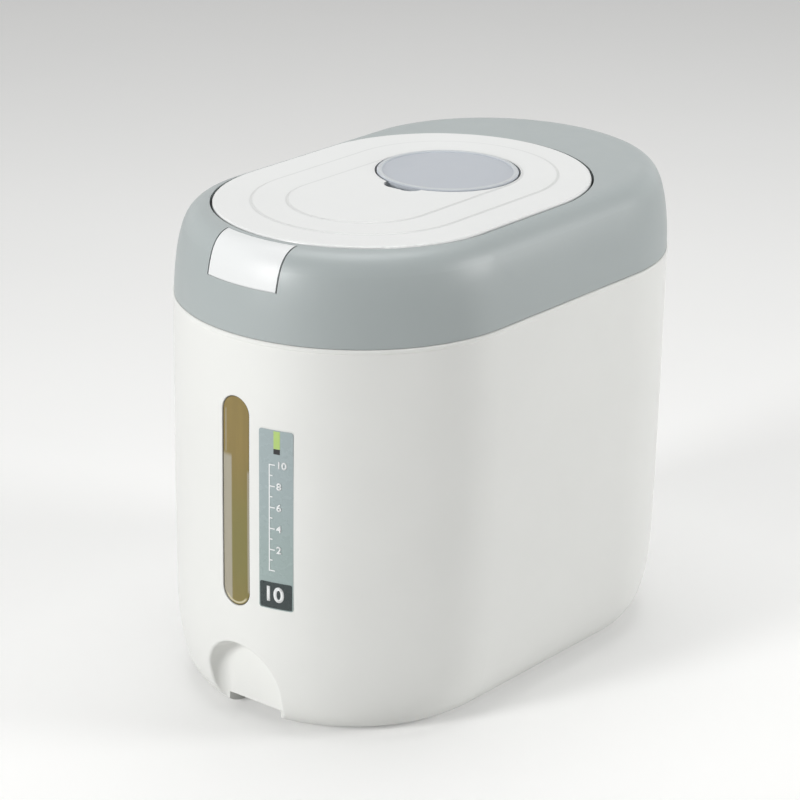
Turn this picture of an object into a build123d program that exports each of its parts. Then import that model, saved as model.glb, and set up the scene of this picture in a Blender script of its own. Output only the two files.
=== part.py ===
"""Rice keeper: racetrack tub, grey collar, flip lid with a cup stowed in it, push button.

Millimetres. X is the width, the button and the window face -Y, Z is up. The origin is the middle
of the footprint. Every upright wall follows a racetrack: two half circles joined by straights.
"""

import os
from math import cos, radians, sin, sqrt, tan

from build123d import *

os.makedirs("parts", exist_ok=True)

# ---- tub ----------------------------------------------------------------------------------
half_width = 105.0          # radius of the tub's round ends at the seam
half_straight = 66.0        # from the middle to the centre of each round end
wall = 2.5
overrun = 1.0               # how far a cut runs past what it cuts
seam_z = 241.0              # top of the bead, where the collar starts
straight_z = 200.0          # the wall is upright above this
flank_z = 62.0              # top of the rounded foot
flank_inset = 1.2           # taper of the wall at flank_z
flank_lean = 0.02           # slope of the wall at flank_z
foot_inset = 33.0           # from half_width to the outside of the foot ring
foot_pull = 23.0            # how far the foot's curve runs flat
foot_rise = 46.5            # how far it runs upright below flank_z
foot_flat = 4.0             # width of the foot ring
moat_flat = 1.5             # flat inside the foot ring
floor_rise = 9.3            # underside of the raised floor
bead_height = 2.8
bead_proud = 0.6
spigot_wall = 2.3           # the tub's rim, inside the collar
spigot_height = 15.0
snap_rise = 9.5             # snap bead on the spigot, above the seam
snap_height = 2.0
snap_proud = 0.8

# ---- finger recess at the foot of the front ---------------------------------------------------
recess_half_front = 29.4
recess_half_back = 23.9
recess_shoulder_z = 23.5    # where the arch's round top starts
recess_depth = 18.5
recess_corner = 8.0         # round where its back meets its sides
rim_round = 1.5             # round of the recess's edge
slot_round = 0.6            # round of the window slot's edge

# ---- sight window ------------------------------------------------------------------------
window_half = 10.0
window_bottom_z = 76.5
window_top_z = 204.5
pane_recess = 0.8
pane_wall = 1.6
pane_flange = 5.0           # how far the pane's flange reaches past the slot
gasket_wall = 0.8
frame_wall = 2.0
frame_margin = 6.5          # from the flange's edge to the frame's edge
stake_radius = 1.6
stake_head_radius = 2.6
stake_head = 0.8
stake_count = 4             # along each side
stake_run = 0.1             # head to frame
pane_gap = 0.2              # pane to slot
soft_gap = 0.02             # either side of a soft ring

# ---- label ---------------------------------------------------------------------------------
label_left_x = 17.0
label_right_x = 37.6
label_bottom_z = 80.6
label_top_z = 189.9
label_wall = 0.15
label_glue = 0.1

# ---- collar --------------------------------------------------------------------------------
deck_z = 292.5
collar_wall = 2.3
collar_inset = 0.2          # the collar's foot, in from half_width
crown_drop = 11.5           # from the deck down to where the shoulder turns over
crown_inset = 5.5
deck_inset = 20.9           # where the shoulder meets the flat deck
shoulder_lean = 0.38        # slope of the shoulder at crown_z
shoulder_upright = 0.37     # share of the side below crown_z that stays upright
shoulder_soft = 1.5         # how softly the side leans in, as a share of the turn's height
deck_soft = 0.25            # how far the turn's last control point leans out, likewise
opening_gap = 1.44          # lid to collar, all round
neck_wall = 2.0
seam_gap = 0.3

# ---- lid -----------------------------------------------------------------------------------
lid_margin = 18.44          # from half_width to the lid's edge
lid_half_straight = 38.05
lid_front_margin = 24.05    # from the front end to the lid's front edge
lid_proud = 0.7             # the lid's edge above the deck
lid_edge = 3.0
lid_wall = 2.2
lid_lip = 2.5
lid_round = 1.1
step_rise = 0.4
step_slope = 68.0           # degrees off upright: the steps' soft edges
step_margin = 21.56         # from the lid's edge to the lower step
step_half_straight = 39.65
step_shift = 1.94           # how far the steps sit behind the lid's middle
inner_margin = 3.56         # from the lid's edge to the inner lid's wall
inner_wall = 2.0
inner_drop = 10.2           # from the lid's edge down to the inner lid
seal_margin = 11.7          # from the inner lid's wall to the middle of the seal
seal_width = 4.0
seal_height = 4.5
seal_grip = 2.5             # how deep the seal sits in its groove
groove_wall = 1.3

# ---- cup and its well ------------------------------------------------------------------------
cup_shift = 40.54           # how far the cup sits behind the lid's middle
cup_radius = 42.1
cup_mouth_radius = 42.6
cup_wall = 1.6
cup_height = 47.9
cup_proud = 1.7             # the cup's ring above the lid's edge
cup_ring_width = 3.4
cup_ring_height = 0.8
well_gap = 0.7              # cup to well
well_wall = 2.0
lip_width = 1.1             # of the step round the well
notch_half = 13.0
notch_reach = 49.2          # from the cup's centre to the notch's front
notch_depth = 20.2          # below the lid's edge
notch_round = 8.0

# ---- mouth frame ------------------------------------------------------------------------------
gasket_height = 2.0
frame_plate = 2.2
frame_gap = 0.4             # frame to collar, and to the tub's rim
shoulder_room = 1.6         # the collar's inset at the frame's plate
lip_depth = 8.0
lip_wall = 2.2
throat_margin = 17.0        # from the inner lid's wall to the throat
throat_wall = 2.0
throat_depth = 6.0          # below the frame's plate
seat_width = 10.0
seat_wall = 2.0

# ---- hinge ---------------------------------------------------------------------------------
hinge_margin = 51.0         # from the rear end to the hinge axis
arm_x = 23.0
arm_width = 10.0
arm_inner = 24.5            # radii of the gooseneck about the hinge axis
arm_outer = 29.5
eye_radius = 5.0
arm_web = 8.0
pin_radius = 2.0
pin_run = 0.05              # running clearance in the moving eyes
pin_fit = 0.02              # clearance in the posts
hinge_run = 1.3             # round the sweeping arms
side_run = 0.8              # beside the arms
hinge_well_wall = 2.0
post_width = 4.0
post_length = 10.0
bracket_plate = 2.5
bracket_length = 22.5       # from the arms to the plate's front
bracket_half = 28.0
spring_wire = 0.9
spring_turns = 6
spring_pitch = 1.4
spring_radius = 3.4

# ---- push button --------------------------------------------------------------------------------
button_half = 24.6
button_drop = 23.1          # from the deck to the lower edge
button_strip = 3.3          # of the collar, between the lid's opening and the button
button_side_gap = 1.0
button_gap = 0.3
button_wall = 2.3
button_foot_inset = 2.7     # the collar's inset at the button's lower edge
button_depth = 31.0         # from the front end to the back of the button's opening
button_slope = 64.0         # degrees: the lower lip runs down and in, out of the rocking path
button_pin_depth = 18.0     # from the front end to the pin
button_pin_drop = 14.5      # from the deck to the pin
button_pin_radius = 1.5
ear_width = 4.0
ear_half = 3.5
hook_half = 7.0
hook_wall = 2.4
hook_drop = 7.1             # from the deck to the underside of the hook
hook_reach = 6.6            # from the pin to the hook's tip
latch_gap = 0.2
coil_radius = 3.0
coil_wire = 0.6
coil_turns = 6
coil_depth = 7.0            # from the pin forward to the coil
shelf_drop = 22.5           # from the deck to the shelf
shelf_wall = 2.0

# ---- screws ----------------------------------------------------------------------------------
screw_radius = 1.5
screw_run = 0.3
screw_cut = 0.3             # core of the thread
screw_bite = 8.0
screw_end = 1.0             # from the screw's end to the end of its hole
screw_head_radius = 2.8
screw_head = 1.8
boss_radius = 3.2
collar_screw_margin = 12.2  # from half_width to the screws' circle
side_screw_y = 40.0
end_screw_angle = 57.0      # of the end screws, about the centre of the round end
lid_screw_angles = [30.0, 60.0]
bracket_screws = [(10.0, 8.0), (24.0, 4.0)]  # x, and distance from the plate's front

# ---- worked out from the above ----------------------------------------------------------------
step_ring_radius = half_width - foot_inset - foot_flat
crown_z = deck_z - crown_drop
floor_top_z = floor_rise + wall
bottom_end_y = half_straight + half_width
spigot_radius = half_width - shoulder_room - collar_wall - seam_gap
rim_z = seam_z + spigot_height
plate_z = rim_z + gasket_height
plate_top_z = plate_z + frame_plate
recess_back_y = -(bottom_end_y - recess_depth)
lid_radius = half_width - lid_margin
lid_front_y = lid_front_margin + lid_radius - bottom_end_y
lid_y = lid_front_y + lid_half_straight
lid_z = deck_z + lid_proud
opening_radius = lid_radius + opening_gap
step_radius = lid_radius - step_margin
step_y = lid_y + step_shift
inner_radius = lid_radius - inner_margin
inner_bottom_z = lid_z - inner_drop
seal_radius = inner_radius - seal_margin
seat_z = inner_bottom_z - seal_height
throat_radius = inner_radius - throat_margin
cup_top_z = lid_z + cup_proud
notch_floor_z = lid_z - notch_depth
hinge_y = bottom_end_y - hinge_margin
hinge_z = inner_bottom_z
bracket_front_y = hinge_y - arm_outer - bracket_length
button_bottom_z = deck_z - button_drop
button_top_radius = opening_radius + button_strip
button_back_y = button_depth - bottom_end_y
button_y = button_pin_depth - bottom_end_y
button_z = deck_z - button_pin_drop
hook_z = deck_z - hook_drop
hook_tip_y = button_y + hook_reach
coil_y = button_y - coil_depth
shelf_z = deck_z - shelf_drop
lid_under_z = lid_z - lid_wall
cup_y = lid_y + cup_shift
well_radius = cup_mouth_radius + well_gap
lip_radius = well_radius + lip_width
inner_top_z = inner_bottom_z + inner_wall
well_floor_z = cup_top_z - cup_height
clear_radius = arm_outer + hinge_run
window_mid_z = (window_bottom_z + window_top_z) / 2
screw_circle = half_width - collar_screw_margin
end_screw_x = screw_circle * cos(radians(end_screw_angle))
end_screw_y = half_straight + screw_circle * sin(radians(end_screw_angle))
collar_screw_spots = [
    (end_screw_x, -end_screw_y),
    (screw_circle, -side_screw_y),
    (screw_circle, side_screw_y),
    (end_screw_x, end_screw_y),
]
bracket_screw_spots = [(x, bracket_front_y + y) for x, y in bracket_screws]


# ---- shared shapes ----------------------------------------------------------------------------
def at(radius, z):
    """A point of a section: how far out it is, and how high."""
    return Vector(radius, 0, z)


def outline(points):
    """Straight edges through the points, left open."""
    return [Line(a, b) for a, b in zip(points, points[1:])]


def sweep_racetrack(section, straight=half_straight, y=0.0):
    """Sweep a section on the +X side round a whole racetrack."""
    side = extrude(section.moved(Location((0, y - straight, 0))), amount=2 * straight, dir=(0, 1, 0))
    end = sweep_end(section, 1, straight, y)
    return side + mirror(side, about=Plane.YZ) + end + mirror(end, about=Plane.XZ.offset(-y))


def sweep_end(section, side, straight=half_straight, y=0.0):
    """Sweep a section round the half circle at one end, side +1 at the rear."""
    centre = (0, y + side * straight, 0)
    return revolve(section.moved(Location(centre)), Axis(centre, (0, 0, side)), 180)


def stadium(radius, z0, z1, straight=half_straight, y=0.0):
    """A racetrack-shaped block."""
    plan = Plane.XY.offset(z0) * Pos(0, y) * SlotCenterToCenter(2 * straight, 2 * radius, rotation=90)
    return extrude(plan, amount=z1 - z0)


def lid_block(radius, z0, z1):
    """A racetrack-shaped block concentric with the lid."""
    return stadium(radius, z0, z1, lid_half_straight, lid_y)


def lid_ring(outer, inner, z0, z1):
    return lid_block(outer, z0, z1) - lid_block(inner, z0, z1)


def block(x0, x1, y0, y1, z0, z1):
    return Pos((x0 + x1) / 2, (y0 + y1) / 2, (z0 + z1) / 2) * Box(x1 - x0, y1 - y0, z1 - z0)


def post(x, y, z0, z1, radius):
    """An upright cylinder."""
    return Pos(x, y, (z0 + z1) / 2) * Cylinder(radius, z1 - z0)


def rod(x0, x1, y, z, radius):
    """A cylinder along X."""
    return Pos((x0 + x1) / 2, y, z) * Rot(0, 90, 0) * Cylinder(radius, x1 - x0)


def both(shape):
    """A shape and its mirror image across the middle."""
    return shape + mirror(shape, about=Plane.YZ)


def wall_points(inset, lift):
    """Control points of the tub's side from its foot to straight_z, moved in and up by a wall."""
    foot_radius = half_width - foot_inset if lift == 0 else step_ring_radius + wall + moat_flat
    flank = at(half_width - flank_inset - inset, flank_z)
    top = at(half_width - inset, straight_z)
    reach = (straight_z - flank_z) / 3
    foot_curve = [
        at(foot_radius, lift),
        at(half_width - foot_inset + foot_pull - inset, lift),
        at(flank.X - flank_lean * foot_rise, flank_z - foot_rise + lift),
        flank,
    ]
    flank_curve = [flank, at(flank.X + flank_lean * reach, flank_z + reach), at(top.X, top.Z - reach), top]
    return [foot_curve, flank_curve]


def shoulder_points(inset, drop):
    """Control points of the collar's side from its foot to the deck, moved in and down by a wall."""
    foot = at(half_width - collar_inset - inset, seam_z + seam_gap)
    crown = at(half_width - crown_inset - inset, crown_z - drop * shoulder_lean)
    deck = at(half_width - deck_inset, deck_z - drop)
    rise = (deck.Z - crown.Z) / 2
    side = [
        foot,
        at(foot.X, foot.Z + (crown.Z - foot.Z) * shoulder_upright),
        at(crown.X + shoulder_lean * rise * shoulder_soft, crown.Z - rise * shoulder_soft),
        crown,
    ]
    turn = [
        crown,
        at(crown.X - shoulder_lean * rise, crown.Z + rise),
        at((crown.X + deck.X) / 2 + rise * deck_soft, deck.Z),
        deck,
    ]
    return [side, turn]


def curves(point_lists):
    return [Bezier(*points) for points in point_lists]


def backwards(point_lists):
    """The same curves run the other way."""
    return [points[::-1] for points in reversed(point_lists)]


def taper(z):
    """How far the tub's side is in from half_width at a height above flank_z."""
    run = min((z - flank_z) / (straight_z - flank_z), 1.0)
    lean = flank_inset - flank_lean * (straight_z - flank_z) / 3
    return flank_inset * (1 - run) ** 3 + 3 * lean * (1 - run) ** 2 * run


def tub_y(inset, x, z):
    """Where the front of a wall this far in from the tub's outside lies."""
    return -half_straight - sqrt((half_width - inset - taper(z)) ** 2 - x**2)


def tub_block():
    """The tub's outside, filled, up to the seam."""
    outer = wall_points(0, 0)
    side = [outer[-1][-1], at(half_width, seam_z), at(0, seam_z), at(0, 0), outer[0][0]]
    return sweep_racetrack(make_face(curves(outer) + outline(side)))


def collar_block():
    """The collar's outside, filled."""
    outer = shoulder_points(0, 0)
    inside = [outer[-1][-1], at(0, deck_z), at(0, outer[0][0].Z), outer[0][0]]
    return sweep_racetrack(make_face(curves(outer) + outline(inside)))


def front_band(near, far):
    """A layer of the tub's front wall between two insets, over the height of the window."""
    top_z = straight_z + window_half + pane_flange + frame_margin
    outer = wall_points(near, 0)[1]
    inner = wall_points(far, 0)[1]
    corners = [outer[-1], at(outer[-1].X, top_z), at(inner[-1].X, top_z), inner[-1]]
    edges = [Bezier(*outer)] + outline(corners) + [Bezier(*inner[::-1])] + outline([inner[0], outer[0]])
    return sweep_end(make_face(edges), -1)


def window_slot(grow):
    """The window's outline, grown all round, run through the front wall."""
    start = Plane((0, -half_straight, window_mid_z), x_dir=(1, 0, 0), z_dir=(0, -1, 0))
    centres = window_top_z - window_bottom_z - 2 * window_half
    plan = start * SlotCenterToCenter(centres, 2 * (window_half + grow), rotation=90)
    return extrude(plan, amount=half_width + wall)


# ---- tub ----------------------------------------------------------------------------------
def arch(half, y, bottom_z):
    """A round-topped doorway, as a face across the front."""
    left = Vector(-half, y, recess_shoulder_z)
    right = Vector(half, y, recess_shoulder_z)
    foot_left = Vector(-half, y, bottom_z)
    foot_right = Vector(half, y, bottom_z)
    crown = Vector(0, y, recess_shoulder_z + half)
    return make_face(
        [
            Line(foot_left, foot_right),
            Line(foot_right, right),
            ThreePointArc(right, crown, left),
            Line(left, foot_left),
        ]
    )


def recess_shape(grow):
    """The finger recess, flared to the front, with the notch under the floor behind it."""
    front_y = -bottom_end_y - overrun
    base_z = -overrun if grow == 0 else 0.0
    flare = loft(
        [
            arch(recess_half_back + grow, recess_back_y + grow, base_z),
            arch(recess_half_front + grow, front_y, base_z),
        ]
    )
    back = flare.faces().sort_by(Axis.Y)[-1]
    flare = fillet(back.edges().filter_by(lambda edge: edge.center().Z > base_z), recess_corner + grow)
    half = recess_half_back - recess_corner / 2 + grow
    notch_y = wall - half_straight - sqrt(step_ring_radius**2 - half**2)
    notch = block(-half, half, recess_back_y - overrun, notch_y, base_z, floor_rise + grow)
    return flare + notch


def stake_spots():
    """Where the window frame's heat stakes stand, as x and z."""
    x = window_half + pane_flange + frame_margin / 2
    low = window_bottom_z + window_half
    step = (window_top_z - window_half - low) / (stake_count - 1)
    return [(side * x, low + i * step) for side in (-1, 1) for i in range(stake_count)]


def stake(x, z, y0, y1, radius):
    """A cylinder along Y."""
    return Pos(x, (y0 + y1) / 2, z) * Rot(90, 0, 0) * Cylinder(radius, y1 - y0)


def rounded_front():
    """The tub's outside with the edges of the recess and of the window slot rounded."""
    front = tub_block() - window_slot(0)
    front = fillet(front.edges().filter_by(on_slot_rim), slot_round)
    front -= recess_shape(0)
    return fillet(front.edges().filter_by(on_recess_rim), rim_round)


def on_slot_rim(edge):
    """Whether an edge runs where the window slot meets the tub's skin."""
    box = edge.bounding_box()
    at_slot = window_bottom_z - slot_round < box.min.Z and box.max.Z < window_top_z + slot_round
    return box.max.Y < -half_straight and at_slot and abs(edge.center().X) <= window_half


def on_recess_rim(edge):
    """Whether an edge runs where the recess meets the tub's skin, above the foot."""
    box = edge.bounding_box()
    crown_z = recess_shoulder_z + recess_half_front
    inside = box.min.X > -recess_half_front and box.max.X < recess_half_front
    return edge.geom_type == GeomType.BSPLINE and inside and floor_rise < edge.center().Z < crown_z


def make_tub():
    outer = wall_points(0, 0)
    inner = wall_points(wall, wall)
    spigot_inner = spigot_radius - spigot_wall
    snap_z = seam_z + snap_rise
    rim = [
        outer[-1][-1],
        at(half_width, seam_z - bead_height),
        at(half_width + bead_proud, seam_z - bead_height + bead_proud),
        at(half_width + bead_proud, seam_z - bead_proud),
        at(half_width, seam_z),
        at(spigot_radius, seam_z),
        at(spigot_radius, snap_z),
        at(spigot_radius + snap_proud, snap_z + snap_proud),
        at(spigot_radius + snap_proud, snap_z + snap_height - snap_proud),
        at(spigot_radius, snap_z + snap_height),
        at(spigot_radius, rim_z),
        at(spigot_inner, rim_z),
        at(spigot_inner, seam_z - wall),
        at(half_width - wall, seam_z - 2 * wall - spigot_wall),
        inner[-1][-1],
    ]
    base = [
        inner[0][0],
        at(step_ring_radius + wall, wall),
        at(step_ring_radius + wall, floor_top_z),
        at(0, floor_top_z),
        at(0, floor_rise),
        at(step_ring_radius, floor_rise),
        at(step_ring_radius, 0),
        outer[0][0],
    ]
    edges = curves(outer) + outline(rim) + curves(backwards(inner)) + outline(base)
    tub = sweep_racetrack(make_face(edges))
    tub += recess_shape(wall) & tub_block()
    tub &= rounded_front() + stadium(half_width + wall, seam_z - 2 * bead_height, rim_z + wall)
    frame_start = wall + gasket_wall + pane_wall
    frame_end = frame_start + frame_wall
    for x, z in stake_spots():
        root_y = tub_y(wall / 2, abs(x), z)
        foot_y = tub_y(frame_start, abs(x) - stake_head_radius, z + stake_head_radius) - stake_run
        head_y = tub_y(frame_end, abs(x) + stake_head_radius, z - stake_head_radius) + stake_run
        tub += stake(x, z, root_y, foot_y, stake_head_radius)
        tub += stake(x, z, root_y, head_y, stake_radius)
        tub += stake(x, z, head_y, head_y + stake_head, stake_head_radius)
    return tub


def make_window_pane():
    window = front_band(pane_recess, wall + gasket_wall + pane_wall) & window_slot(-pane_gap)
    flange = front_band(wall + gasket_wall, wall + gasket_wall + pane_wall)
    return window + (flange & window_slot(pane_flange))


def make_window_gasket():
    ring = window_slot(pane_flange) - window_slot(pane_gap)
    return front_band(wall + soft_gap, wall + gasket_wall - soft_gap) & ring


def make_window_frame():
    near = wall + gasket_wall + pane_wall + soft_gap
    ring = window_slot(pane_flange + frame_margin) - window_slot(0)
    frame = front_band(near, near + frame_wall - 2 * soft_gap) & ring
    for x, z in stake_spots():
        frame -= stake(x, z, -bottom_end_y, recess_back_y, stake_radius + pin_run)
    return frame


def make_label():
    y0 = -bottom_end_y - overrun
    patch = block(label_left_x, label_right_x, y0, -half_straight, label_bottom_z, label_top_z)
    return front_band(-label_glue - label_wall, -label_glue) & patch


# ---- mouth frame ------------------------------------------------------------------------------
def hinge_sweep(radius, half):
    """The round space that both hinge arms sweep, half as wide as given."""
    return both(rod(arm_x - half, arm_x + half, hinge_y, hinge_z, radius))


def hinge_post(x0, x1):
    upright = block(
        x0, x1, hinge_y - post_length / 2, hinge_y + post_length / 2, plate_top_z, hinge_z
    )
    return upright + rod(x0, x1, hinge_y, hinge_z, post_length / 2)


def make_mouth_frame():
    spigot_inner = spigot_radius - spigot_wall
    frame_radius = half_width - shoulder_room - collar_wall - frame_gap
    lip_outer = spigot_inner - frame_gap
    frame = stadium(frame_radius, plate_z, plate_top_z)
    frame += stadium(lip_outer, plate_z - lip_depth, plate_z) - stadium(
        lip_outer - lip_wall, plate_z - lip_depth, plate_z
    )
    frame += lid_block(throat_radius + throat_wall, plate_z - throat_depth, seat_z)
    frame += lid_block(throat_radius + seat_width, seat_z - seat_wall, seat_z)
    frame -= lid_block(throat_radius, plate_z - throat_depth, seat_z)
    well_half = arm_width / 2 + side_run
    shell = hinge_sweep(clear_radius + hinge_well_wall, well_half + hinge_well_wall)
    low = block(-half_width, half_width, 0, bottom_end_y, floor_top_z, plate_top_z)
    frame += shell & low
    frame -= hinge_sweep(clear_radius, well_half)
    post_x = arm_x + well_half + side_run
    frame += both(hinge_post(post_x, post_x + post_width)) + hinge_post(-post_width, post_width)
    frame -= rod(-half_width, half_width, hinge_y, hinge_z, pin_radius + pin_fit)
    ear_x = button_half + button_side_gap + button_side_gap
    ear = block(
        ear_x, ear_x + ear_width, button_y - ear_half, button_y + ear_half, plate_top_z, button_z
    )
    ear += rod(ear_x, ear_x + ear_width, button_y, button_z, ear_half)
    frame += both(ear)
    frame -= rod(-half_width, half_width, button_y, button_z, button_pin_radius + pin_fit)
    for x, y in collar_screw_spots:
        frame -= both(post(x, y, plate_z, plate_top_z, screw_radius + screw_run))
    return frame


def make_rim_gasket():
    outer = spigot_radius
    inner = spigot_radius - spigot_wall
    return stadium(outer, rim_z, plate_z) - stadium(inner, rim_z, plate_z)


# ---- collar -------------------------------------------------------------------------------
def button_keeper(gap):
    """The block that the button's outline fills, grown by a gap: sides, top edge, sloping foot."""
    slope = tan(radians(button_slope))
    foot_radius = half_width - button_foot_inset
    foot_z = button_bottom_z - gap / cos(radians(button_slope))
    out = 2 * button_foot_inset
    back = 3 * button_wall
    high_z = deck_z + out * slope
    corners = [
        at(foot_radius + out, foot_z + out * slope),
        at(foot_radius - back, foot_z - back * slope),
        at(foot_radius - back, plate_top_z - wall),
        at(foot_radius - 3 * back, plate_top_z - wall),
        at(foot_radius - 3 * back, high_z),
        at(foot_radius + out, high_z),
    ]
    keeper = sweep_end(make_face(outline(corners + corners[:1])), -1)
    half = button_half + (button_side_gap if gap else 0)
    keeper &= block(-half, half, -bottom_end_y - out, button_back_y, 0, high_z)
    return keeper - post(0, lid_front_y, 0, high_z, button_top_radius - gap)


def make_collar():
    outer = shoulder_points(0, 0)
    inner = shoulder_points(collar_wall, collar_wall)
    deck = [outer[-1][-1], at(0, deck_z), at(0, deck_z - collar_wall), inner[-1][-1]]
    foot = [inner[0][0], outer[0][0]]
    face = make_face(curves(outer) + outline(deck) + curves(backwards(inner)) + outline(foot))
    envelope = collar_block()
    collar = sweep_racetrack(face)
    snap_top_z = seam_z + snap_rise - seam_gap
    snap_radius = half_width - collar_inset - collar_wall / 2
    snap_rib = stadium(snap_radius, snap_top_z - snap_height, snap_top_z)
    collar += snap_rib - stadium(spigot_radius + seam_gap, snap_top_z - snap_height, snap_top_z)
    collar -= lid_block(opening_radius, plate_top_z, deck_z + overrun)
    neck = lid_ring(opening_radius + neck_wall, opening_radius, plate_top_z, deck_z)
    neck -= hinge_sweep(clear_radius, arm_width / 2 + side_run) & block(
        -half_width, half_width, 0, bottom_end_y, plate_top_z, deck_z - collar_wall - side_run
    )
    collar += neck & envelope
    bosses = Part() + [
        post(side * x, y, plate_top_z, deck_z, boss_radius)
        for x, y in collar_screw_spots
        for side in (-1, 1)
    ]
    collar += bosses & envelope
    collar -= button_keeper(button_gap)
    hook_room = hook_half + side_run
    collar -= block(
        -hook_room, hook_room, lid_front_y - button_top_radius - overrun, hook_tip_y,
        hook_z - side_run, deck_z - collar_wall
    )
    for x, y in collar_screw_spots:
        collar -= both(post(x, y, plate_top_z, plate_top_z + screw_bite, screw_radius - screw_cut))
    return collar


def make_collar_screws():
    return Part() + [
        screw(side * x, y, plate_z, frame_plate + screw_bite - screw_end, screw_radius - screw_cut)
        for x, y in collar_screw_spots
        for side in (-1, 1)
    ]


def screw(x, y, head_top_z, length, radius):
    """A pan-head screw driven upwards, its head's top face at head_top_z."""
    shank = post(x, y, head_top_z, head_top_z + length, radius)
    head = post(x, y, head_top_z - screw_head, head_top_z, screw_head_radius)
    return head + shank


# ---- lid --------------------------------------------------------------------------------------
def notch_block(grow, z0, z1):
    """The finger notch in front of the cup, grown all round."""
    width = 2 * (notch_half + grow)
    length = notch_reach + grow
    plan = Plane.XY.offset(z0) * Pos(0, cup_y - length / 2) * RectangleRounded(
        width, length, notch_round + grow
    )
    return extrude(plan, amount=z1 - z0)


def lid_screw_spots():
    """Round the lid's two ends, between the seal and the inner lid's wall."""
    radius = inner_radius - inner_wall - screw_head_radius - seam_gap
    spots = []
    for angle in lid_screw_angles:
        x = radius * cos(radians(angle))
        y = radius * sin(radians(angle))
        spots += [(x, lid_front_y - y)]
    rear = radians(lid_screw_angles[0])
    spots += [(radius * cos(rear), lid_y + lid_half_straight + radius * sin(rear))]
    return spots


def raised_step(radius, straight, y, z):
    """A racetrack-shaped terrace with a sloping edge."""
    plan = Plane.XY.offset(z) * Pos(0, y) * SlotCenterToCenter(2 * straight, 2 * radius, rotation=90)
    return extrude(plan, amount=step_rise, taper=step_slope)


def make_lid_top():
    lid = lid_block(lid_radius, lid_z - lid_edge, lid_z)
    lid = fillet(lid.edges().group_by(Axis.Z)[-1], lid_round)
    front_centre = step_y - step_half_straight
    half = (cup_y - front_centre) / 2
    lid += raised_step(step_radius, step_half_straight, step_y, lid_z)
    lid += raised_step(lip_radius, half, front_centre + half, lid_z + step_rise)
    lid -= lid_block(lid_radius - lid_lip, lid_z - lid_edge, lid_under_z)
    lid -= post(0, cup_y, lid_z - lid_edge, deck_z + lid_edge, well_radius)
    lid -= notch_block(0, lid_z - lid_edge, deck_z + lid_edge)
    for x, y in lid_screw_spots():
        lid += both(post(x, y, inner_top_z, lid_under_z, screw_head_radius))
        lid -= both(post(x, y, inner_top_z, lid_under_z - screw_end, screw_radius - screw_cut))
    return lid


def make_lid_inner():
    lid = lid_block(inner_radius, inner_bottom_z, lid_under_z)
    lid -= lid_block(inner_radius - inner_wall, inner_top_z, lid_under_z)
    half = seal_width / 2
    groove_z = inner_bottom_z - seal_grip
    holder_half = half + groove_wall
    lid += lid_ring(seal_radius + holder_half, seal_radius - holder_half, groove_z, inner_bottom_z)
    lid -= lid_ring(seal_radius + half, seal_radius - half, groove_z, inner_bottom_z)
    lid += post(0, cup_y, well_floor_z - well_wall, lid_under_z, well_radius + well_wall)
    lid += notch_block(well_wall, notch_floor_z - well_wall, lid_under_z)
    lid -= post(0, cup_y, well_floor_z, lid_under_z, well_radius)
    lid -= notch_block(0, notch_floor_z, lid_under_z)
    nose_top = hook_z - latch_gap
    lid += block(
        -hook_half, hook_half, hook_tip_y + latch_gap, lid_front_y - inner_radius + inner_wall,
        inner_bottom_z - inner_wall, nose_top
    )
    arm_room = arm_width / 2 + side_run
    lid -= both(
        block(
            arm_x - arm_room, arm_x + arm_room,
            hinge_y - clear_radius, hinge_y - arm_inner + hinge_run + inner_wall,
            inner_bottom_z, inner_top_z + bracket_plate + seam_gap,
        )
    )
    for x, y in lid_screw_spots():
        lid -= both(post(x, y, inner_bottom_z, inner_top_z, screw_radius + screw_run))
    for x, y in bracket_screw_spots:
        lid += both(post(x, y, inner_bottom_z - screw_bite, inner_bottom_z, boss_radius))
        lid -= both(
            post(x, y, inner_top_z - screw_bite, inner_top_z, screw_radius - screw_cut)
        )
    return lid


def make_lid_seal():
    """The seal stands on the seat and fills its groove."""
    half = seal_width / 2 - soft_gap
    return lid_ring(seal_radius + half, seal_radius - half, seat_z, inner_bottom_z)


def make_lid_screws():
    length = lid_under_z - inner_bottom_z - 2 * screw_end
    return Part() + [
        screw(side * x, y, inner_bottom_z, length, screw_radius - screw_cut)
        for x, y in lid_screw_spots()
        for side in (-1, 1)
    ]


def make_hinge_bracket():
    top_z = inner_top_z + bracket_plate
    plate = block(
        -bracket_half, bracket_half, bracket_front_y, hinge_y - arm_outer, inner_top_z, top_z
    )
    x0 = arm_x - arm_width / 2
    x1 = arm_x + arm_width / 2
    ring = rod(x0, x1, hinge_y, hinge_z, arm_outer) - rod(x0, x1, hinge_y, hinge_z, arm_inner)
    front_low = block(x0, x1, hinge_y - arm_outer, hinge_y, hinge_z - arm_outer, top_z)
    arm = ring & front_low
    ring_middle_z = hinge_z - (arm_inner + arm_outer) / 2
    arm += block(x0, x1, hinge_y - arm_web / 2, hinge_y + arm_web / 2, ring_middle_z, hinge_z)
    arm &= rod(x0, x1, hinge_y, hinge_z, arm_outer)
    arm += rod(x0, x1, hinge_y, hinge_z, eye_radius)
    arm += block(x0, x1, hinge_y - arm_outer - wall, hinge_y - arm_inner, inner_top_z, top_z)
    bracket = plate + both(arm)
    bracket -= rod(-half_width, half_width, hinge_y, hinge_z, pin_radius + pin_run)
    for x, y in bracket_screw_spots:
        bracket -= both(post(x, y, inner_top_z, top_z, screw_radius + screw_run))
    return bracket


def make_hinge_screws():
    """Driven down through the bracket into blind bosses of the inner lid."""
    top_z = inner_top_z + bracket_plate
    screws = Part()
    for x, y in bracket_screw_spots:
        end_z = inner_top_z - screw_bite + screw_end
        shank = post(x, y, end_z, top_z, screw_radius - screw_cut)
        screws += both(shank + post(x, y, top_z, top_z + screw_head, screw_head_radius))
    return screws


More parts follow.
